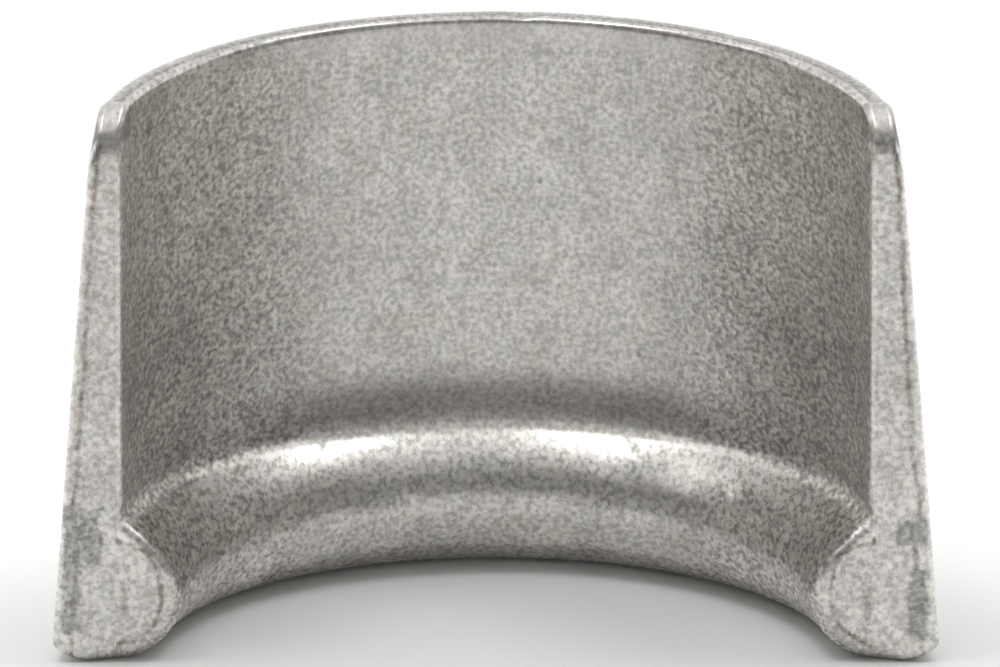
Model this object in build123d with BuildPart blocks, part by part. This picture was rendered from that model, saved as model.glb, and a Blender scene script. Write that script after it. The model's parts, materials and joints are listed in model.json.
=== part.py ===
# One half of a valve collet, the split cone that locks a poppet valve's stem into its spring retainer.
#
# The half is one cold-formed piece of steel. Its section is turned about the stem's axis: a wall that is
# straight inside and tapers outside, thickening towards a round bead at the wide end. The bead drops into
# the stem's groove, the straight bore grips the stem above the groove, and the cone wedges into the
# retainer. The turned shape stops short of a full half by the split gap, so that two halves never touch
# each other and can clamp the stem. Every edge is broken, as tumbling leaves it.
#
# Millimetres. The origin is on the stem's axis, in the plane of the wide end that the half stands on.
# +Z points along the stem to the narrow end, and +Y into the back of the half, away from the split.

from build123d import *

import os
from math import cos, radians, sin, tan

# Driving dimensions
stem_diameter = 9.525
height = 7.28
narrow_wall = 0.37
cone_half_angle = 4.4
bead_radius = 0.84
bead_depth = 0.70
bead_flank_angle = 45
bead_root_radius = 0.20
wide_edge_width = 0.50
wide_edge_rise = 0.22
split_gap = 1.2
split_end_radius = 0.40
edge_break = 0.12

# Sizes that follow from them
bore_radius = stem_diameter / 2
narrow_radius = bore_radius + narrow_wall
taper = tan(radians(cone_half_angle))
wide_radius = narrow_radius + height * taper
split_y = split_gap / 2

# The bead is a circle that rests on the wide end's plane and stands into the bore by its depth.
bead_inner_radius = bore_radius - bead_depth
bead_centre = bead_inner_radius + bead_radius

# A straight flank leaves the circle above, tangent to it, and slopes up to the bore.
flank = radians(bead_flank_angle)
flank_inner = bead_centre - bead_radius * sin(flank)
flank_low = bead_radius + bead_radius * cos(flank)
flank_high = flank_low + (bore_radius - flank_inner) * tan(flank)

# The root between flank and bore is rounded, so the straight bore starts a little higher.
root_height = flank_high + bead_root_radius * tan((radians(90) - flank) / 2)


def draw_section():
    """Draw the section's outline, starting where the bead meets the wide end and going outwards."""
    bead_foot = (bead_centre, 0)
    flat_end = (wide_radius - wide_edge_width, 0)
    cone_start = (wide_radius - wide_edge_rise * taper, wide_edge_rise)
    root = (bore_radius, flank_high)
    flank_end = (flank_inner, flank_low)
    Line(bead_foot, flat_end)
    TangentArc(flat_end, cone_start, tangent=(1, 0))
    Polyline(cone_start, (narrow_radius, height), (bore_radius, height), root, flank_end)
    ThreePointArc(flank_end, (bead_inner_radius, bead_radius), bead_foot)


with BuildPart() as collet_half:
    with BuildSketch(Plane.XZ) as section:
        with BuildLine():
            draw_section()
        make_face()
        # The hollow corner at the bead's root, and the widest one, where the crowned end meets the cone.
        fillet(section.vertices().sort_by_distance((bore_radius, flank_high))[0], radius=bead_root_radius)
        fillet(section.vertices().sort_by(Axis.X)[-1], radius=edge_break)
    revolve(axis=Axis.Z, revolution_arc=180)
    split(bisect_by=Plane.XZ.offset(-split_y), keep=Keep.BOTTOM)

    # The narrow end's corners at the split are rounded well back.
    narrow_end = collet_half.faces().sort_by(Axis.Z)[-1]
    fillet(narrow_end.edges().filter_by(GeomType.LINE), radius=split_end_radius)

    # Then the edges of the narrow end and of both split faces are broken, in one closed loop.
    corner_sides = collet_half.edges(Select.LAST).filter_by(GeomType.BSPLINE)
    rim_edges = collet_half.faces().sort_by(Axis.Z)[-1].edges().filter_by(GeomType.CIRCLE)
    split_faces = collet_half.faces().filter_by(Plane.XZ)
    split_edges = split_faces.edges().sort_by(Axis.Z)[:-2]
    fillet(corner_sides + rim_edges + split_edges, radius=edge_break)

collet_half.part.label = "collet_half"

os.makedirs("parts", exist_ok=True)
export_step(collet_half.part, "parts/collet_half.step")

print(f"wide end radius {wide_radius:.3f} mm, bead inner radius {bead_inner_radius:.3f} mm")
print(f"straight bore from {root_height:.3f} mm to {height - edge_break:.3f} mm")
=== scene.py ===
# %% [markdown]
# # One half of a valve collet
#
# A valve collet is a small split cone of steel. Two halves close round a poppet valve's stem, a bead
# inside each half drops into a groove of the stem, and the cone outside wedges into the spring's retainer.
# This lesson dresses one half, 11 mm wide, that stands on its wide end with its bore towards the camera.
#
# The frame holds the part as it was built, in metres. Blender adds what the solid can't show: softened and
# slightly uneven surfaces, the fine grain that tumbling leaves, stains, and painted highlights on the
# edges.

# %% Load the frame
import json
from math import atan2, cos, degrees, pi, radians, sin, sqrt

import bpy
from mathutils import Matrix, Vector


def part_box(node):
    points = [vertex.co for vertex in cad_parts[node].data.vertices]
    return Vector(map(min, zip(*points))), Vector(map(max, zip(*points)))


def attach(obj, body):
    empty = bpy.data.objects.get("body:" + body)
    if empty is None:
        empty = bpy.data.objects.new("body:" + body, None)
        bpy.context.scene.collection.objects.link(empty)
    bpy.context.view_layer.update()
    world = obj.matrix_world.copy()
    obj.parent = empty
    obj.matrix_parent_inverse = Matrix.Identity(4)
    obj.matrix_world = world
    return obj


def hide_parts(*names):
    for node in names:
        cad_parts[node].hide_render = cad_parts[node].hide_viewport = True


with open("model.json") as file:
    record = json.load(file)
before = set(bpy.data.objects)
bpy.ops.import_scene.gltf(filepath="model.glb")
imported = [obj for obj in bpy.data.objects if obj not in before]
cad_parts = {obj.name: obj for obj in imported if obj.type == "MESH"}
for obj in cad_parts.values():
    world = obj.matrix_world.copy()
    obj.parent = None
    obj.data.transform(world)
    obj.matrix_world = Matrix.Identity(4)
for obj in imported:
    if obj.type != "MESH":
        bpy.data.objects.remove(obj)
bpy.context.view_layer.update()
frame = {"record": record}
bpy.context.scene.view_settings.view_transform = "Standard"

# %% [markdown]
# ## Sizes
#
# The interfaces that the record states give the main sizes, so the looks follow the part if it changes. The
# rest are the section's own small sizes, in millimetres, turned into metres once. Angles are in degrees.

# %% Sizes of the collet
MM = 0.001
mounts = {mount["name"]: mount for mount in frame["record"]["mounts"]}
part_low, part_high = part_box("collet_half")

bore_radius = mounts["stem_bore"]["dims"]["r_mm"] * MM
bead_inner_radius = mounts["stem_groove_bead"]["dims"]["r_mm"] * MM
bead_radius = mounts["stem_groove_bead"]["pos_m"][2]
wide_radius = mounts["retainer_taper"]["dims"]["r_mm"] * MM
height = part_high.z
split_y = part_low.y

narrow_wall = 0.37 * MM
narrow_radius = bore_radius + narrow_wall
flank_low = 38
flank_high = 52
bead_root_radius = 0.13 * MM
relief_radius = 2.4 * MM
relief_angle = 8
crown_width = 0.50 * MM
crown_rise = 0.22 * MM
widest_corner = 0.12 * MM
rim_outer_corner = 0.12 * MM
rim_inner_corner = 0.11 * MM
print(f"bore {bore_radius / MM:.3f} mm, wide end {wide_radius / MM:.3f} mm, height {height / MM:.2f} mm")

# %% [markdown]
# ## The camera
#
# The photo was taken with a long lens: the bore's sides look parallel. A long focal length from further
# away gives that flat perspective. The camera looks down by 18 degrees at a point in the bore.

# %% The camera
PHOTO_WIDTH = 1000
camera_distance = 0.3
camera_tilt = radians(18.1)
focal_pixels = 23640
look_at = Vector((0.052, 2.0, 3.939)) * MM

camera_data = bpy.data.cameras.new("camera")
camera_data.sensor_width = 36
camera_data.lens = camera_data.sensor_width * focal_pixels / PHOTO_WIDTH
camera_data.clip_start = 0.01
camera_data.clip_end = 50
camera = bpy.data.objects.new("camera", camera_data)
bpy.context.scene.collection.objects.link(camera)
camera.location = look_at + camera_distance * Vector((0, -cos(camera_tilt), sin(camera_tilt)))
camera.rotation_euler = (radians(90) - camera_tilt, 0, 0)
bpy.context.scene.camera = camera
print(f"lens {camera_data.lens:.0f} mm from {camera_distance} m")

# %% [markdown]
# ## The section
#
# A collet is a turned shape, so everything about it is in its section: a closed outline with the radius
# across and the height up. It could be a plain profile with bevels put on its edges later, but each bevel
# would first have to find its edge. Here the outline is made of straight runs and arcs, and each of its
# points also carries its own normal into the steel and how far the split edge beside it is broken.

# %% Helpers that draw the outline
TIGHT = 0.02 * MM
FINE = 0.035 * MM
COARSE = 0.10 * MM
FEWEST_ON_RUN = 2
FEWEST_ON_ARC = 6
outline = []


def add_point(across, up, inward_angle, edge_break):
    """One outline point. The angle, in radians, says which way the steel lies."""
    inward = (cos(inward_angle), 0, sin(inward_angle))
    outline.append(((across, 0, up), inward, edge_break))


def add_run(start, end, edge_breaks):
    """A straight run with the steel on its left, without its two ends."""
    start, end = Vector(start), Vector(end)
    count = max(FEWEST_ON_RUN, round((end - start).length / COARSE))
    heading = atan2(end.y - start.y, end.x - start.x)
    for i in range(1, count):
        point = start.lerp(end, i / count)
        break_here = edge_breaks[0] + (edge_breaks[1] - edge_breaks[0]) * i / count
        add_point(point.x, point.y, heading + radians(90), break_here)


def add_arc(centre, radius, angles, edge_breaks, step=FINE):
    """An arc with both of its ends, angles in degrees. One that turns clockwise is hollow."""
    turn = radians(angles[1] - angles[0])
    count = max(FEWEST_ON_ARC, round(abs(turn) * radius / step))
    for i in range(count + 1):
        angle = radians(angles[0]) + turn * i / count
        inward = angle + (radians(180) if turn > 0 else 0)
        break_here = edge_breaks[0] + (edge_breaks[1] - edge_breaks[0]) * i / count
        add_point(centre[0] + radius * cos(angle), centre[1] + radius * sin(angle), inward, break_here)


print(f"steps of {FINE / MM:.3f} mm on arcs and {COARSE / MM:.2f} mm on straight runs")

# %% [markdown]
# A softened corner is an arc that touches both of its neighbours. Between two straight runs its centre
# lies one radius from each. Where the crowned edge of the wide end meets the cone, the centre lies one
# radius inside both, which is a quadratic. Above the bead, a gently rounded flank leaves the bead's circle
# and slopes up to the bore, with a hollow root arc and a long, shallow relief between the two.

# %% Where the arcs are centred
taper = (wide_radius - narrow_radius) / height
cone_up = Vector((-taper, 1)).normalized()
cone_inward = Vector((-cone_up.y, cone_up.x))
cone_normal = degrees(atan2(-cone_inward.y, -cone_inward.x))

crown_run = crown_width - crown_rise * taper
crown_radius = (crown_run**2 + crown_rise**2) / (2 * crown_rise)
crown_centre = Vector((wide_radius - crown_width, crown_radius))

from_crown = Vector((wide_radius, 0)) + widest_corner * cone_inward - crown_centre
along = from_crown.dot(cone_up)
room_squared = (crown_radius - widest_corner) ** 2 - from_crown.length_squared
widest_centre = crown_centre + from_crown - cone_up * (along + sqrt(along**2 + room_squared))
crown_leaves = degrees(atan2(widest_centre.y - crown_centre.y, widest_centre.x - crown_centre.x))

rim_drop = height - rim_outer_corner
rim_outer_x = wide_radius - rim_drop * taper - rim_outer_corner / cos(radians(cone_normal))
rim_outer_centre = Vector((rim_outer_x, rim_drop))
rim_inner_centre = Vector((bore_radius + rim_inner_corner, height - rim_inner_corner))

bead_centre = Vector((bead_inner_radius + bead_radius, bead_radius))


def toward(angle):
    """The direction at an angle in degrees."""
    return Vector((cos(radians(angle)), sin(radians(angle))))


relief_step = relief_radius * (1 - cos(radians(relief_angle)))
root_step = bead_root_radius * (cos(radians(flank_high)) - cos(radians(relief_angle)))
flank_top_x = bore_radius + relief_step + root_step
flank_span = flank_top_x - bead_centre.x + bead_radius * cos(radians(flank_low))
flank_radius = flank_span / (cos(radians(flank_low)) - cos(radians(flank_high)))
flank_centre = bead_centre + (bead_radius - flank_radius) * toward(180 - flank_low)
root_centre = flank_centre + (flank_radius + bead_root_radius) * toward(180 - flank_high)
relief_centre = root_centre + (bead_root_radius + relief_radius) * toward(relief_angle)
bore_foot = relief_centre - Vector((relief_radius, 0))
print(f"flank radius {flank_radius / MM:.2f} mm from {flank_centre.x / MM:.2f} mm")
print(f"crown radius {crown_radius / MM:.3f} mm, straight bore from {bore_foot.y / MM:.3f} mm")

# %% [markdown]
# Now the outline goes round once, with the steel always on its left. The edge break beside it is small at
# the thin rim, so that it fits between the rim's own corners, and wide round the lower half of the bead,
# where a broad bright band shows. Some arcs leave out their first degrees, where the arc before them has
# already put a point.

# %% Draw the outline
plain_break = 0.12 * MM
corner_break = 0.10 * MM
rim_break = 0.085 * MM
root_break = 0.17 * MM
bead_break = 0.25 * MM
flank_skip = 1
bead_skip = 2
crown_skip = 4
bead_break_angle = 200

bead_foot = Vector((bead_centre.x, 0))
crown_start = Vector((crown_centre.x, 0))
cone_start = widest_centre - widest_corner * cone_inward
cone_end = rim_outer_centre - rim_outer_corner * cone_inward
rim_out = Vector((rim_outer_centre.x, height))
rim_in = Vector((rim_inner_centre.x, height))
bore_top = Vector((bore_radius, rim_inner_centre.y))

add_run(bead_foot, crown_start, (bead_break, plain_break))
add_arc(crown_centre, crown_radius, (-90, crown_leaves), (plain_break, corner_break))
corner_angles = (crown_leaves + crown_skip, cone_normal)
add_arc(widest_centre, widest_corner, corner_angles, (corner_break, corner_break), TIGHT)
add_run(cone_start, cone_end, (corner_break, rim_break))
add_arc(rim_outer_centre, rim_outer_corner, (cone_normal, 90), (rim_break, rim_break), TIGHT)
add_run(rim_out, rim_in, (rim_break, rim_break))
add_arc(rim_inner_centre, rim_inner_corner, (90, 180), (rim_break, rim_break), TIGHT)
add_run(bore_top, bore_foot, (rim_break, plain_break))
add_arc(relief_centre, relief_radius, (180, 180 + relief_angle), (plain_break, root_break))
add_arc(root_centre, bead_root_radius, (relief_angle, -flank_high), (root_break, root_break))
flank_angles = (180 - flank_high + flank_skip, 180 - flank_low)
add_arc(flank_centre, flank_radius, flank_angles, (root_break, plain_break))
bead_angles = (180 - flank_low + flank_skip, bead_break_angle)
add_arc(bead_centre, bead_radius, bead_angles, (plain_break, bead_break))
add_arc(bead_centre, bead_radius, (bead_break_angle + bead_skip, 270), (bead_break, bead_break))
print(len(outline), "outline points")

# %% [markdown]
# The outline becomes a mesh of points and edges only, which carries the normals and breaks as attributes.
# The Geometry Nodes tree below reads them by name.

# %% The outline as a mesh
section_mesh = bpy.data.meshes.new("collet_steel")
ring = [(i, (i + 1) % len(outline)) for i in range(len(outline))]
section_mesh.from_pydata([point for point, _, _ in outline], ring, [])

section_mesh.attributes.new("inward", "FLOAT_VECTOR", "POINT")
section_mesh.attributes.new("edge_break", "FLOAT", "POINT")
for i, (_, inward, edge_break) in enumerate(outline):
    section_mesh.attributes["inward"].data[i].vector = inward
    section_mesh.attributes["edge_break"].data[i].value = edge_break

collet = bpy.data.objects.new("collet_steel", section_mesh)
bpy.context.scene.collection.objects.link(collet)
print(len(section_mesh.vertices), "points and", len(section_mesh.edges), "edges")

# %% [markdown]
# ## Formulas in a node tree
#
# The shape follows a rule, and a rule reads best as a formula. A node tree holds formulas as many small
# Math nodes, which are slow to link by hand. This helper wraps a socket so that plain sums and products
# add those nodes. Geometry trees and materials both use it.

# %% A socket that can be calculated with
def feed(tree, socket, value):
    """Link a field to a socket, or set the socket's own value."""
    if isinstance(value, Field):
        tree.links.new(value.socket, socket)
    else:
        socket.default_value = value


def put(tree, kind, values=None, **settings):
    """Add a node, with its settings and what goes into its sockets by name or place."""
    made = tree.nodes.new(kind)
    for name, setting in settings.items():
        setattr(made, name, setting)
    for key, value in (values or {}).items():
        feed(tree, made.inputs[key], value)
    return made


class Field:
    """A value in a node tree. Arithmetic on it adds Math nodes."""

    def __init__(self, tree, socket):
        self.tree = tree
        self.socket = socket

    def calc(self, operation, *others):
        """A Math node on this value and the others."""
        values = dict(enumerate((self, *others)))
        made = put(self.tree, "ShaderNodeMath", values, operation=operation)
        return Field(self.tree, made.outputs[0])

    def __add__(self, other):
        return self.calc("ADD", other)

    def __sub__(self, other):
        return self.calc("SUBTRACT", other)

    def __mul__(self, other):
        return self.calc("MULTIPLY", other)

    def __truediv__(self, other):
        return self.calc("DIVIDE", other)

    def __rsub__(self, other):
        return self.calc("MULTIPLY_ADD", -1, other)

    __radd__ = __add__
    __rmul__ = __mul__

    def clamped(self):
        """The value, kept from 0 to 1."""
        return self.calc("MINIMUM", 1).calc("MAXIMUM", 0)

    def between(self, low, high, smooth=True):
        """0 at low, 1 at high, and eased between them."""
        kind = "SMOOTHSTEP" if smooth else "LINEAR"
        values = {"Value": self, "From Min": low, "From Max": high}
        made = put(self.tree, "ShaderNodeMapRange", values, interpolation_type=kind)
        return Field(self.tree, made.outputs["Result"])


def field(tree, kind, output, values=None, **settings):
    """Add a node and return one of its outputs as a field."""
    made = put(tree, kind, values, **settings)
    return Field(tree, made.outputs[output])


def parts_of(vector):
    """The x, y and z of a vector field."""
    split = put(vector.tree, "ShaderNodeSeparateXYZ", {0: vector})
    return [Field(vector.tree, output) for output in split.outputs]


def vector_of(tree, x, y, z):
    """A vector field from its three parts."""
    return field(tree, "ShaderNodeCombineXYZ", 0, {0: x, 1: y, 2: z})


def scaled(vector, factor):
    """A vector or a colour times a number."""
    return field(vector.tree, "ShaderNodeVectorMath", 0, {0: vector, "Scale": factor}, operation="SCALE")


# %% [markdown]
# ## The collet's body
#
# On the real part the split faces are sheared or ground flat and then tumbled, so every edge round them is
# rolled over. Spinning the outline through half a turn would give sharp ends, and beveling them would
# stumble over the bead's tight root. Instead a flat grid is bent into the whole skin at once: its rows
# follow the outline, and its columns go round. The first and last few columns curl over the edge and on to
# the face.

# %% The tree and its inputs
tree = bpy.data.node_groups.new("collet_from_section", "GeometryNodeTree")


def named_input(name, kind, value=None):
    """An input of the tree: its identifier, and the value that the collet gives it."""
    item = tree.interface.new_socket(name=name, in_out="INPUT", socket_type=kind)
    return item.identifier, value


inputs = {
    "Section": named_input("Section", "NodeSocketGeometry"),
    "Split distance": named_input("Split distance", "NodeSocketFloat", split_y),
    "Columns": named_input("Columns", "NodeSocketInt", 330),
    "Rounding columns": named_input("Rounding columns", "NodeSocketInt", 10),
    "Height": named_input("Height", "NodeSocketFloat", height),
    "Narrow end drop": named_input("Narrow end drop", "NodeSocketFloat", 0.56 * MM),
    "Narrow end run": named_input("Narrow end run", "NodeSocketFloat", 0.58 * MM),
    "Narrow end blend": named_input("Narrow end blend", "NodeSocketFloat", 0.8 * MM),
    "Narrow end flatness": named_input("Narrow end flatness", "NodeSocketFloat", 0.35),
    "Waviness": named_input("Waviness", "NodeSocketFloat", 0.012 * MM),
    "Dent depth": named_input("Dent depth", "NodeSocketFloat", 0.02 * MM),
    "Seed": named_input("Seed", "NodeSocketInt", 7),
    "Steel": named_input("Steel", "NodeSocketMaterial"),
}
tree.interface.new_socket(name="Body", in_out="OUTPUT", socket_type="NodeSocketGeometry")
group_input = tree.nodes.new("NodeGroupInput")
given = {socket.name: Field(tree, socket) for socket in group_input.outputs if socket.name}
print(len(inputs), "inputs:", ", ".join(inputs))

# %% [markdown]
# A grid's points are numbered column by column, so a point's number gives its row on the outline and its
# column round the part. One row more than the outline has points closes the skin.

# %% Rows and columns of the grid
section = given["Section"]
row_count = field(tree, "GeometryNodeAttributeDomainSize", "Point Count", {0: section}, component="MESH")
grid_size = {"Vertices X": given["Columns"], "Vertices Y": row_count + 1}
grid = field(tree, "GeometryNodeMeshGrid", "Mesh", grid_size)
number = field(tree, "GeometryNodeInputIndex", 0)
column = (number / (row_count + 1)).calc("FLOOR")
row = (number - column * (row_count + 1)).calc("FLOORED_MODULO", row_count)
print(len(tree.nodes), "nodes number the rows and columns")

# %% [markdown]
# Each point of the grid then looks up the outline's point in its row: where that is, which way the steel
# lies from it and how far the edge beside it is broken.

# %% Read the outline row by row
def named(name, kind):
    """A point's own attribute."""
    return field(tree, "GeometryNodeInputNamedAttribute", "Attribute", {"Name": name}, data_type=kind)


def on_section(source, kind):
    """What the outline's point in the same row has."""
    values = {"Geometry": section, "Value": source, "Index": row}
    return field(tree, "GeometryNodeSampleIndex", 0, values, data_type=kind, domain="POINT")


own_place = field(tree, "GeometryNodeInputPosition", 0)
own_inward = named("inward", "FLOAT_VECTOR")
own_break = named("edge_break", "FLOAT")
section_x, _, section_z = parts_of(on_section(own_place, "FLOAT_VECTOR"))
inward_x, _, inward_z = parts_of(on_section(own_inward, "FLOAT_VECTOR"))
section_break = on_section(own_break, "FLOAT")
print(len(tree.nodes), "nodes with the outline")

# %% [markdown]
# The curl is a quarter circle. At its start the skin is still in place, one break away from the split
# face, and at its end it lies in the face, one break inside the outline. At the narrow end the quarter
# circle stretches to the long rounding that the corners have there, and pulls the rim down with it.
# Raising its sine and cosine to a power a little over one flattens the middle, as on a chamfer that was
# tumbled round.

# %% Curl the ends over the split edges
curl_columns = given["Rounding columns"]
last_column = given["Columns"] - 1
from_left = (curl_columns - column) / curl_columns
from_right = (column - last_column + curl_columns) / curl_columns
curl = from_left.calc("MAXIMUM", from_right).clamped()
quarter = curl * radians(90)
blend_start = given["Height"] - given["Narrow end blend"]
near_rim = section_z.between(blend_start, given["Height"])
power = 1 + given["Narrow end flatness"] * near_rim
rolled_in = 1 - quarter.calc("COSINE").calc("POWER", power)
rolled_on = 1 - quarter.calc("SINE").calc("POWER", power)

split_break = section_break + (given["Narrow end run"] - section_break) * near_rim
extra_drop = (given["Narrow end drop"] - section_break) * near_rim * rolled_in

ring_x = section_x + inward_x * section_break * rolled_in
ring_z = section_z + inward_z * section_break * rolled_in - extra_drop
ring_y = given["Split distance"] + split_break * rolled_on
print(len(tree.nodes), "nodes with the curl")

# %% [markdown]
# Between the two curls the columns share the angle round the axis evenly. Each row starts where its own
# curl ends, so the columns stay parallel to the split faces there.

# %% Bend the grid round the axis
curl_start_y = given["Split distance"] + split_break
start_angle = (curl_start_y / section_x).calc("ARCSINE")
round_share = ((column - curl_columns) / (last_column - 2 * curl_columns)).clamped()
angle = start_angle + round_share * (radians(180) - 2 * start_angle)

turned_x = section_x * angle.calc("COSINE")
turned_y = section_x * angle.calc("SINE")
side = (column - last_column / 2).calc("SIGN") * -1
curled_x = (ring_x * ring_x - ring_y * ring_y).calc("SQRT") * side
is_curled = curl.calc("GREATER_THAN", 0)

skin_x = turned_x + (curled_x - turned_x) * is_curled
skin_y = turned_y + (ring_y - turned_y) * is_curled
skin_place = vector_of(tree, skin_x, skin_y, ring_z)
skin = field(tree, "GeometryNodeSetPosition", 0, {"Geometry": grid, "Position": skin_place})
print(len(tree.nodes), "nodes with the bend")

# %% [markdown]
# ## The split faces
#
# Each flat face is the same outline, moved inwards by the break. Filling it as a curve triangulates any
# shape, hollows included. The curl already ends flat in the face, so the shading runs on without a crease.

# %% Fill both split faces
own_x, _, own_z = parts_of(own_place)
way_x, _, way_z = parts_of(own_inward)
drop = (given["Narrow end drop"] - own_break) * own_z.between(blend_start, given["Height"])
flat_place = vector_of(tree, own_x + way_x * own_break, own_z + way_z * own_break - drop, 0.0)
flat_section = field(tree, "GeometryNodeSetPosition", 0, {"Geometry": section, "Position": flat_place})
flat_curve = field(tree, "GeometryNodeMeshToCurve", 0, {0: flat_section})
filled = field(tree, "GeometryNodeFillCurve", 0, {0: flat_curve})


def stand_face(sign):
    """The filled outline, stood up in the split plane on one side of the bore."""
    across, up, _ = parts_of(own_place)
    out = (across * across - given["Split distance"] * given["Split distance"]).calc("SQRT")
    stood = vector_of(tree, out * sign, given["Split distance"], up)
    return field(tree, "GeometryNodeSetPosition", 0, {"Geometry": filled, "Position": stood})


left_face = field(tree, "GeometryNodeFlipFaces", 0, {0: stand_face(-1)})
right_face = stand_face(1)
print(len(tree.nodes), "nodes with both split faces")

# %% [markdown]
# ## Joining and roughening
#
# The skin and the two faces meet point for point, so merging by distance closes them.

# %% Join and merge
weld_distance = 0.0003 * MM
joined = put(tree, "GeometryNodeJoinGeometry")
for part in (right_face, left_face, skin):
    tree.links.new(part.socket, joined.inputs[0])
skin_and_faces = Field(tree, joined.outputs[0])
weld = {"Geometry": skin_and_faces, "Distance": weld_distance}
closed = field(tree, "GeometryNodeMergeByDistance", 0, weld)
print(f"points closer than {weld_distance / MM:.4f} mm are merged")

# %% [markdown]
# A pressed and tumbled part is never quite true: its surfaces swim a little and carry shallow knocks. Both
# are pushed inwards only, so the part never grows past its gauge sizes.

# %% Swim and knocks
def noise(scale, seed_step, detail):
    """Smooth noise on the position, from 0 to 1, at features per millimetre."""
    values = {"Vector": own_place, "W": given["Seed"] + seed_step, "Scale": scale / MM, "Detail": detail}
    return field(tree, "ShaderNodeTexNoise", 0, values, noise_dimensions="4D")


swim = noise(scale=0.45, seed_step=0, detail=1.0)
knocks = noise(scale=1.6, seed_step=31, detail=0.0).between(0.66, 0.86)
depth = swim * given["Waviness"] + knocks * given["Dent depth"]
normal = field(tree, "GeometryNodeInputNormal", 0)
inwards = scaled(normal, depth * -1)
dented = field(tree, "GeometryNodeSetPosition", 0, {"Geometry": closed, "Offset": inwards})
print(len(tree.nodes), "nodes with swim and knocks")

# %% [markdown]
# The last nodes make the faces smooth, realize whatever is still an instance and set the material.

# %% Finish the tree
smooth = field(tree, "GeometryNodeSetShadeSmooth", 0, {"Geometry": dented})
real = field(tree, "GeometryNodeRealizeInstances", 0, {0: smooth})
painted = field(tree, "GeometryNodeSetMaterial", 0, {"Geometry": real, "Material": given["Steel"]})
put(tree, "NodeGroupOutput", {0: painted})
print(len(tree.nodes), "nodes in", tree.name)

# %% [markdown]
# ## The steel
#
# Collets are pressed from low-carbon steel, case hardened and tumbled. The surface is a satin grey: it
# still mirrors large shapes, but a fine grain of tiny facets breaks the mirror up. A painted picture would
# need a seam somewhere round the bead, so the grain is noise in the material. It reads Object coordinates,
# which are turned into millimetres first, and works on colour, roughness and bump.

# %% The steel's material
steel = bpy.data.materials.new("steel_finish")
steel.use_nodes = True
shader_tree = steel.node_tree
shader_tree.nodes.clear()

place = scaled(field(shader_tree, "ShaderNodeTexCoord", "Object"), 1 / MM)
place_x, place_y, place_z = parts_of(place)


def grain(scale, detail=2.0, roughness=0.5, distortion=0.0, where=place):
    """Noise on the steel, from 0 to 1, at features per millimetre."""
    values = {
        "Vector": where,
        "Scale": scale,
        "Detail": detail,
        "Roughness": roughness,
        "Distortion": distortion,
    }
    return field(shader_tree, "ShaderNodeTexNoise", 0, values)


# A Mix node has its sockets for colours after those for numbers and vectors.
MIX_FIRST = 6
MIX_SECOND = 7
MIX_RESULT = 2


def mixed(share, first, second):
    """A colour between two."""
    values = {0: share, MIX_FIRST: first, MIX_SECOND: second}
    return field(shader_tree, "ShaderNodeMix", MIX_RESULT, values, data_type="RGBA")


print(steel.name, "reads its place in millimetres")

# %% [markdown]
# What a spot looks like depends on where it is on the part. On a split face it matters how deep a spot
# lies inside the face's outline. The bead's circle and the wall are two shapes, and the greater of the
# depths inside each is the depth inside both together. A soft maximum rounds the corner between them.

# %% Depths inside the outline
corner_blend = 0.35

off_middle = place_x.calc("ABSOLUTE")
from_axis = (place_x * place_x + place_y * place_y).calc("SQRT")
in_wall = from_axis - bore_radius / MM
in_cone = (wide_radius / MM - place_z * taper - from_axis) * cone_up.y
bead_x = from_axis - bead_centre.x / MM
bead_z = place_z - bead_centre.y / MM
in_bead = bead_radius / MM - (bead_x * bead_x + bead_z * bead_z).calc("SQRT")

# Past the bead's middle the depth jumps, so that no line follows the bead's outer half.
depth_jump = 2
past_bead = bead_x.between(-0.05, 0.05, smooth=False)
depth_inside = in_wall.calc("SMOOTH_MAX", in_bead, corner_blend) + past_bead * depth_jump
print(len(shader_tree.nodes), "nodes measure the depths")

# %% [markdown]
# Each mask is 1 on its own surface and 0 away from it. The two numbers of a fade are where it is 0 and
# where it is 1, in millimetres.

# %% Masks for the surfaces
split_at = split_y / MM
top = height / MM
bead_top = 1.75
hollow_top = 1.94

on_face = place_y.between(split_at + 0.10, split_at + 0.04)
off_face = 1 - on_face
near_split = place_y.between(split_at + 0.16, split_at + 0.10)
below_bore = place_z.between(hollow_top + 0.10, hollow_top)
at_bore = in_wall.between(0.1, 0.0)
on_bead = place_z.between(bead_top + 0.20, bead_top) * at_bore
in_hollow = place_z.between(1.74, 1.82) * below_bore * in_wall.between(0.10, 0.05)
on_side = off_middle.between(2.2, 3.2) * at_bore * off_face
on_cone = in_cone.between(0.10, 0.05) * off_face
outside = on_cone * (1 - near_split) * place_z.between(top - 0.15, top - 0.25)
on_rim = place_z.between(top - 0.45, top - 0.25)
on_corner = place_z.between(top - 0.46, top - 0.38) * place_y.between(split_at + 0.75, split_at + 0.5)
is_smooth = on_bead.calc("MAXIMUM", on_rim).calc("MAXIMUM", on_face)
print(len(shader_tree.nodes), "nodes with the masks")

# %% [markdown]
# The grain is noise of two sizes. The small one has the size of the facets that tumbling leaves, drawn out
# from front to back, and the clouds show where the surface has worn brighter or kept a brown film. Colour
# follows both a little, because each facet mirrors another part of the room.

# %% Grain and clouds
light_steel = (0.68, 0.66, 0.625, 1)
dark_steel = (0.58, 0.563, 0.53, 1)
brown_steel = (0.62, 0.555, 0.50, 1)
cool_steel = (0.59, 0.605, 0.60, 1)
brown_share = 0.6
cool_share = 0.5
facets_per_mm = 15.0

# A share under 1 draws the facets out from front to back.
drawn_share = 0.6
drawn = vector_of(shader_tree, place_x, place_y * drawn_share, place_z)
fine_grain = grain(scale=facets_per_mm, detail=1.0, distortion=0.15, where=drawn)
facets = fine_grain.between(0.30, 0.70, smooth=False)
cloud = grain(scale=1.3, detail=3.0, roughness=0.6)
film = grain(scale=3.1, roughness=0.6, distortion=0.4)

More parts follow.
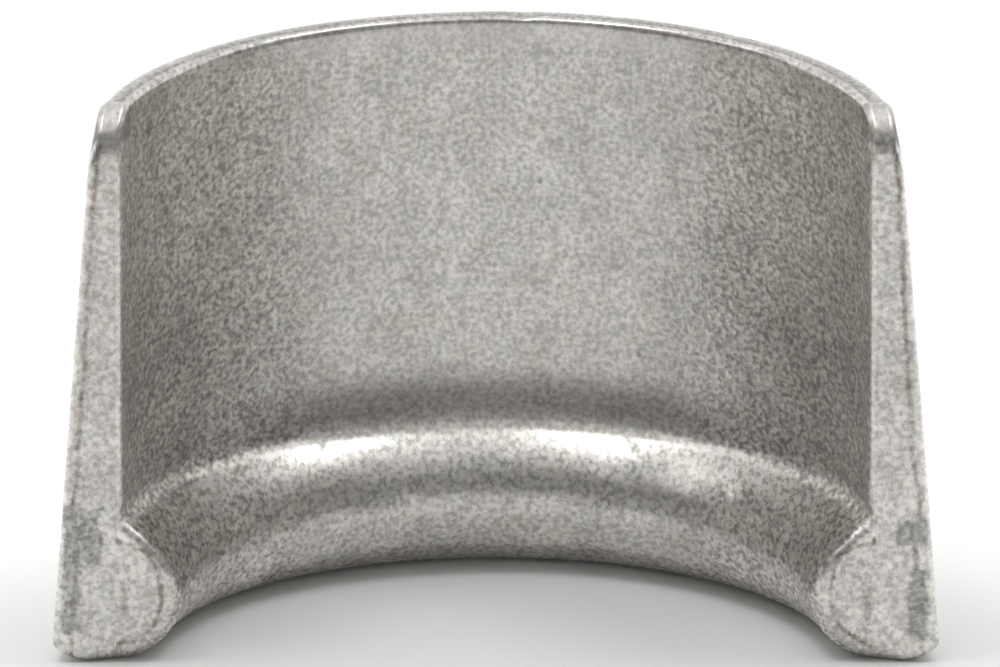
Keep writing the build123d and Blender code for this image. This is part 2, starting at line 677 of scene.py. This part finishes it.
clean_color = mixed(cloud.between(0.35, 0.65), dark_steel, light_steel)
filmed_color = mixed(film.between(0.55, 0.75) * brown_share, clean_color, brown_steel)
plain_color = mixed(film.between(0.45, 0.25) * cool_share, filmed_color, cool_steel)
print(f"facets of about {1 / facets_per_mm:.2f} mm")

# %% [markdown]
# The hollow above the bead is darkened, partly by dirt that tumbling media can't reach and partly with
# painted shade. It is darkest in the middle of the bore.

# %% Dirt and painted shade in the hollow
side_share = 0.25
middle_share = side_share + (1 - side_share) * off_middle.between(3.5, 1.8)
# The hollow's darkening is partly dirt and partly painted shade.
hollow_reach = place_z.between(2.75, 2.20) * place_z.between(1.82, 2.06) * in_wall.between(0.30, 0.2)
root_dirt_and_shade = hollow_reach * middle_share * off_face
print(f"the hollow's ends keep {side_share:.0%} of the dirt in its middle")

# %% [markdown]
# On each split face a dark line runs where the rounded edge begins. It could be drawn as a curve, but the
# depths inside the outline already say where it is. It wanders a little, lies deeper where the rounding is
# wide, and fades in patches.

# %% Lines along the edges of the split faces
line_width = 0.055
line_core = 0.1
wander_width = 0.15
wander = (grain(scale=2.4) - 0.5) * wander_width


def line_at(depth, middle, width=line_width):
    """A soft line where a depth is at its middle."""
    off = (depth + wander - middle).calc("ABSOLUTE")
    return off.between(width, width * line_core)


# How deep the line on the inside lies. It is less at the bead's flank and more round the bead itself.
inner_depth = 0.14
flank_less = 0.06
bead_more = 0.15
bore_strength = 0.60
bead_strength = 0.35
inner_middle = inner_depth - flank_less * place_z.between(1.85, 1.50)
inner_middle = inner_middle + bead_more * place_z.between(1.50, 0.80)
inner_strength = bore_strength + bead_strength * place_z.between(2.40, 1.90)
inner_line = line_at(depth_inside, inner_middle) * inner_strength

# How deep the line along the cone lies, which is more lower down.
cone_depth = 0.10
waist_more = 0.05
foot_more = 0.10
cone_strength = 0.9
cone_middle = cone_depth + waist_more * place_z.between(6.0, 4.0) + foot_more * place_z.between(2.2, 0.9)
cone_line = line_at(in_cone, cone_middle) * cone_strength

# A short upright line stands low on the bead's face.
end_line_x = 4.74
end_line_width = 0.09
end_strength = 0.60
end_line = line_at(from_axis, end_line_x, end_line_width) * place_z.between(1.15, 0.90)
end_line = end_line * place_z.between(0.25, 0.50) * end_strength

faintest = 0.35
facet_gaps = 0.3
patches = grain(scale=3.2).between(0.36, 0.60) * (1 - faintest) + faintest
patchy = patches * (1.0 - facet_gaps * facets)
edge_lines = inner_line.calc("MAXIMUM", cone_line).calc("MAXIMUM", end_line) * on_face * patchy
print("lines", line_width, "mm wide wander by", wander_width / 2, "mm")

# %% [markdown]
# Each split face also keeps a few dark stains from the press. They are boxes with soft, ragged edges.

# %% Stains on the split faces
# Each stain has its lowest and highest x, then its lowest and highest z, in millimetres.
stain_edges = (
    (-5.46, -5.30, 0.40, 2.10),
    (-5.43, -5.03, 1.36, 2.02),
    (5.27, 5.45, 0.35, 1.22),
    (5.10, 5.43, 1.58, 1.90),
)
stain_fade = 0.06
stain_raggedness = 0.22
stain_depth = 1.2
facet_stain = 0.4

ragged = (grain(scale=6.0) - 0.5) * stain_raggedness
ragged_x = place_x + ragged
ragged_z = place_z + ragged


def stain(x_low, x_high, z_low, z_high):
    """A soft patch between two x and two z."""
    wide = ragged_x.between(x_low - stain_fade, x_low) * ragged_x.between(x_high + stain_fade, x_high)
    tall = ragged_z.between(z_low - stain_fade, z_low) * ragged_z.between(z_high + stain_fade, z_high)
    return wide * tall


stains = 0.0
for edges in stain_edges:
    stains = stain(*edges).calc("MAXIMUM", stains)
stains = stains * on_face * (stain_depth - facet_stain * facets)
print(len(stain_edges), "stains")

# %% [markdown]
# A few pits and one nick mark the bore. Each is a dark spot round a point.

# %% Pits in the bore
# Each pit has its x, its z and its radius, in millimetres.
pit_places = (
    (2.15, 7.17, 0.07),
    (0.57, 5.09, 0.05),
    (1.83, 2.87, 0.05),
    (-3.81, 4.84, 0.05),
    (-4.39, 6.70, 0.06),
)
pit_floor = 0.3
pits = 0.0
for pit_x, pit_z, pit_radius in pit_places:
    off_x = place_x - pit_x
    off_z = place_z - pit_z
    from_pit = (off_x * off_x + off_z * off_z).calc("SQRT")
    pits = from_pit.between(pit_radius, pit_radius * pit_floor) + pits
pits = pits * in_wall.between(0.15, 0.08)
print(len(pit_places), "pits")

# %% [markdown]
# Lines, stains, dirt with painted shade, and pits are laid over the plain steel one after another.

# %% The steel's colour
line_color = (0.24, 0.195, 0.165, 1)
stain_color = (0.34, 0.335, 0.325, 1)
# This dark colour is partly dirt and partly painted shade in the hollow above the bead.
dirt_and_shade_color = (0.15, 0.14, 0.13, 1)
stain_share = 0.85
dirt_and_shade_share = 0.75
pit_share = 0.5

lined_color = mixed(edge_lines, plain_color, line_color)
stained_color = mixed(stains * stain_share, lined_color, stain_color)
dirt_and_shade = (root_dirt_and_shade * dirt_and_shade_share).calc("MAXIMUM", pits * pit_share)
dirty_and_shaded_color = mixed(dirt_and_shade, stained_color, dirt_and_shade_color)
print(len(shader_tree.nodes), "nodes with lines, stains, dirt and pits")

# %% [markdown]
# Painted highlights and shade are laid into the colour here. The root and the edges beside a split face get
# painted highlights. The thin rim is painted brighter towards its outer edge and darker towards the bore.
# At both sides of the bead a painted highlight runs along its top, with painted shade above it.

# %% Painted highlights and shade
# Strengths of the painted highlights and painted shade.
root_highlight_share = 0.42
root_plain = 0.4
root_facets = 0.7
bore_edge_highlight_share = 0.14
cone_edge_highlight_share = 0.18
rim_sheen = 0.34
rim_shade = 0.24
band_highlight = 0.34
band_shade = 0.26

# Painted highlights on the root and on the edges beside the split faces.
root_highlight = depth_inside.between(0.14, 0.06) * place_z.between(1.56, 1.66) * below_bore
root_highlight = root_highlight * (root_plain + root_facets * facets)
bore_edge_highlight = in_wall.between(0.11, 0.05) * place_z.between(1.95, 2.1)
cone_edge_highlight = in_cone.between(0.10, 0.04) * place_z.between(0.2, 0.4)
edge_highlights = near_split * (root_highlight_share * root_highlight + bore_edge_highlight_share * bore_edge_highlight + cone_edge_highlight_share * cone_edge_highlight)

# Painted sheen on the rim's outer part and painted shade at its edge by the bore.
rim_light = rim_sheen * in_wall.between(0.10, 0.28) - rim_shade * in_wall.between(0.0, 0.04)
rim_sheen_and_shade = place_z.between(top - 0.22, top - 0.13) * rim_light * (1 - on_corner)

# A painted highlight along the bead's top at both sides, with painted shade above it.
beside = off_middle.between(2.0, 2.6) * off_middle.between(4.2, 3.6) * at_bore * off_face
highlight_rows = place_z.between(1.42, 1.60) * place_z.between(1.86, 1.80)
shaded = place_z.between(1.82, 1.88) * place_z.between(2.3, 2.0)
band = beside * (band_highlight * highlight_rows - band_shade * shaded)
print(len(shader_tree.nodes), "nodes with the worn and shaded places")

# %% [markdown]
# All of this scales the colour. The facets show most on the sides of the bore and least on the rim, and
# the split faces are a little brighter, with blotches. The corners of the narrow end and the outside of
# the cone are darkened with painted shade.

# %% How bright each place is
bore_grain = 0.54
side_grain = 0.32
bead_grain = 0.06
rim_polish = 0.20
cone_polish = 0.16
face_light = 0.03
blotch_light = 0.22
# Painted shade on the narrow end's corners and on the cone's outside.
corner_shade = 0.32
cone_outside_shade = 0.34
brightest = (0.95, 0.94, 0.92)

grain_depth = bore_grain + side_grain * on_side + bead_grain * on_bead
grain_depth = grain_depth - rim_polish * on_rim - cone_polish * on_cone
blotches = (grain(scale=4.5) - 0.5) * on_face
brightness = 1 + grain_depth * (facets - 0.5) + face_light * on_face + blotch_light * blotches
brightness = brightness + edge_highlights + rim_sheen_and_shade + band
brightness = brightness * (1 - corner_shade * on_corner - cone_outside_shade * outside)
lit_color = scaled(dirty_and_shaded_color, brightness)
color_limits = {0: lit_color, 1: brightest}
steel_color = field(shader_tree, "ShaderNodeVectorMath", 0, color_limits, operation="MINIMUM")
print("no spot is brighter than", brightest)

# %% [markdown]
# It all meets in one metallic shader. The bead is burnished by the stem, so it is smoother than the bore,
# and so are the rim and the split faces. The hollow above the bead is the roughest.

# %% The finished steel
metal_share = 0.84
plain_roughness = 0.29
grain_roughness = 0.10
burnish = 0.06
hollow_roughness = 0.28
corner_roughness = 0.03
grain_height = 0.008 * MM
smooth_flattening = 0.85
cone_flattening = 0.4

steel_roughness = plain_roughness + grain_roughness * fine_grain - burnish * is_smooth
steel_roughness = steel_roughness + hollow_roughness * in_hollow + corner_roughness * on_corner
relief = 1.0 - smooth_flattening * is_smooth - cone_flattening * on_cone
bump_inputs = {"Strength": relief, "Distance": grain_height, "Height": fine_grain}
bump = field(shader_tree, "ShaderNodeBump", "Normal", bump_inputs)
steel_inputs = {
    "Base Color": steel_color,
    "Metallic": metal_share,
    "Roughness": steel_roughness,
    "Normal": bump,
}
surface = field(shader_tree, "ShaderNodeBsdfPrincipled", 0, steel_inputs)
put(shader_tree, "ShaderNodeOutputMaterial", {"Surface": surface})
print(len(shader_tree.nodes), "nodes in", steel.name)

# %% [markdown]
# ## From tree to mesh
#
# The modifier gets its inputs by the socket's identifier before the object is first evaluated. Its result
# is then copied as a plain mesh and the modifier removed, so that the collet is ordinary geometry from
# here on.

# %% Build the collet
def build(piece, node_tree, values):
    """Run a Geometry Nodes tree on an object and keep the result as its mesh."""
    modifier = piece.modifiers.new("shape", "NODES")
    modifier.node_group = node_tree
    for identifier, value in values:
        modifier[identifier] = value
    bpy.context.view_layer.update()
    evaluated = piece.evaluated_get(bpy.context.evaluated_depsgraph_get())
    result = bpy.data.meshes.new_from_object(evaluated)
    piece.modifiers.remove(modifier)
    result.name = piece.name
    result.materials.clear()
    result.materials.append(steel)
    piece.data = result


inputs["Steel"] = (inputs["Steel"][0], steel)
build(collet, tree, [pair for name, pair in inputs.items() if name != "Section"])
triangles = sum(len(face.vertices) - 2 for face in collet.data.polygons)
print(f"{len(collet.data.vertices)} points, {triangles} triangles")

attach(collet, "root")
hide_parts("collet_half")

# %% [markdown]
# ## Floor and light
#
# The collet stands on a white table. In front of the part the table is a little greyer, so that the bead's
# underside, which mirrors it, stays darker than the white behind. The tone follows the table's own
# coordinates.

# %% The table
table_size = 6.0
front_tone = 0.74
tone_rise = 0.14
rise_start = -7 * MM
rise_end = 0.5 * MM
table_roughness = 0.9

table_mesh = bpy.data.meshes.new("table")
corners = [(x * table_size, y * table_size, 0) for x, y in ((-1, -1), (1, -1), (1, 1), (-1, 1))]
table_mesh.from_pydata(corners, [], [(0, 1, 2, 3)])
table = bpy.data.objects.new("table", table_mesh)
bpy.context.scene.collection.objects.link(table)

table_paint = bpy.data.materials.new("table_paint")
table_paint.use_nodes = True
table_tree = table_paint.node_tree
_, table_y, _ = parts_of(field(table_tree, "ShaderNodeTexCoord", "Object"))
table_tone = front_tone + tone_rise * table_y.between(rise_start, rise_end)
table_shader = table_tree.nodes["Principled BSDF"]
table_color = vector_of(table_tree, table_tone, table_tone, table_tone)
feed(table_tree, table_shader.inputs["Base Color"], table_color)
table_shader.inputs["Roughness"].default_value = table_roughness
table_shader.inputs["Specular IOR Level"].default_value = 0.0
table_mesh.materials.append(table_paint)
print(f"table {2 * table_size:.0f} m wide")

# %% [markdown]
# Steel is lit by what it mirrors, so the lamps are soft boxes and the room behind them is dim. The box
# overhead lights the table, and both fill the bore. Two small strong boxes, high up on both sides, draw the
# highlights along the bead, and two lower and weaker ones light its ends. The rim and the rounded edges
# mirror the big panels behind, and a weak panel in front fills the split faces.

# %% The lamps and the world
room_tone = 0.24
world = bpy.data.worlds.new("studio")
world.use_nodes = True
world.node_tree.nodes["Background"].inputs["Color"].default_value = (room_tone, room_tone, room_tone, 1)
bpy.context.scene.world = world


def softbox(name, azimuth, elevation, distance, width, depth, radiance):
    """A rectangular lamp that faces the collet. Azimuth 0 is behind it, and a radiance of 1 is white."""
    lamp = bpy.data.lights.new(name, "AREA")
    lamp.shape = "RECTANGLE"
    lamp.size = width
    lamp.size_y = depth
    lamp.energy = radiance * width * depth * pi
    around = radians(azimuth)
    up = radians(elevation)
    box = bpy.data.objects.new(name, lamp)
    box.location = look_at + distance * Vector((sin(around) * cos(up), cos(around) * cos(up), sin(up)))
    box.rotation_euler = (look_at - box.location).to_track_quat("-Z", "Y").to_euler()
    bpy.context.scene.collection.objects.link(box)


# Each lamp has its name, its azimuth and elevation in degrees, its distance, width and depth in metres,
# and its radiance.
lamps = (
    ("softbox_overhead", 0, 84, 0.30, 0.28, 0.32, 1.08),
    ("softbox_right", 81, 64, 0.30, 0.09, 0.075, 6.5),
    ("softbox_left", -96, 72, 0.30, 0.10, 0.08, 6.0),
    ("softbox_left_low", -87, 46, 0.30, 0.15, 0.09, 1.5),
    ("softbox_right_low", 84, 44, 0.30, 0.10, 0.08, 0.8),
    ("panel_back_left", -42, 28, 0.45, 0.62, 0.50, 1.05),
    ("panel_back_right", 42, 28, 0.45, 0.62, 0.50, 0.9),
    ("panel_back_low", 0, 8, 0.45, 0.50, 0.14, 0.65),
    ("front_panel", 180, 9, 0.45, 0.60, 0.14, 0.5),
)
for lamp in lamps:
    softbox(*lamp)
print(len(lamps), "lamps")

# %% Count the triangles
print("tris", sum(len(p.vertices) - 2 for p in collet.data.polygons))
